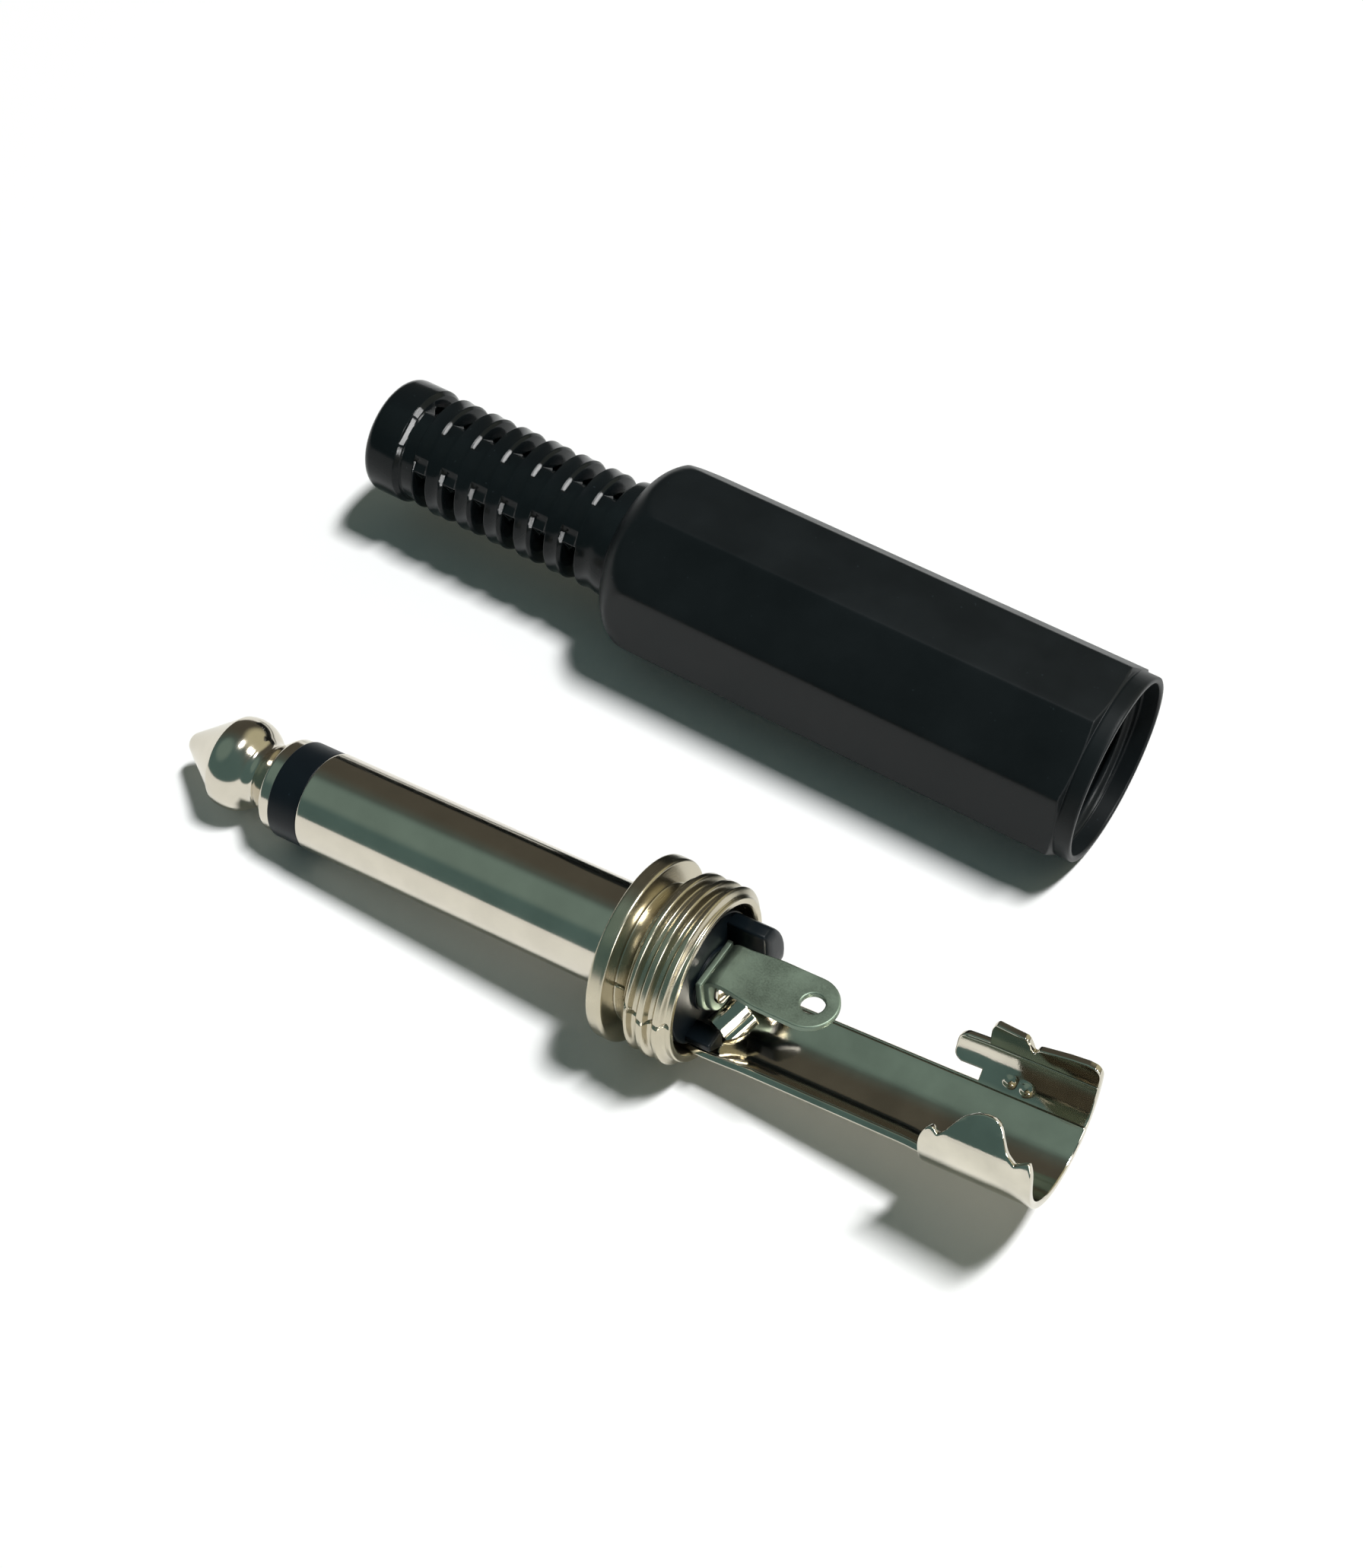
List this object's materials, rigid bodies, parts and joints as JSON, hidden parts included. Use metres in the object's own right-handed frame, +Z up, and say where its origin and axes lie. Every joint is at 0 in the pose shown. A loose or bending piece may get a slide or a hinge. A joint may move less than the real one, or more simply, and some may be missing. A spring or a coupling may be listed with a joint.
{
  "type": "mono jack plug",
  "caption": "Mono jack plug taken apart: a metal plug with tip, sleeve, threaded collar, solder lug and cable clamp beside its black eight-sided screw-on handle with a slotted boot.",
  "frame": {"origin": "on the bench below the middle of the whole set, plug and handle together", "axes": "+X along the handle from its boot to its mouth, +Y from the plug towards the handle, +Z up from the bench"},
  "size_m": [0.0638, 0.038, 0.0124],
  "materials": {
    "moulded_handle": "black moulded plastic, satin barrel, glossier boot",
    "insulator": "black moulded plastic",
    "nickel_contact": "bright nickel plate on turned brass",
    "nickel_collar": "warm satin nickel plate on turned brass",
    "tinned_lug": "dull tinned sheet",
    "nickel_clamp": "bright nickel plate on pressed sheet"
  },
  "bodies": {
    "root": {"handle": "moulded_handle", "tip": "nickel_contact", "tip_insulator": "insulator", "sleeve": "nickel_contact", "rod_liner": "insulator", "threaded_collar": "nickel_collar", "rear_insulator": "insulator", "lug_washer": "tinned_lug", "tip_lug": "tinned_lug", "cable_clamp": "nickel_clamp"}
  },
  "joints": []
}
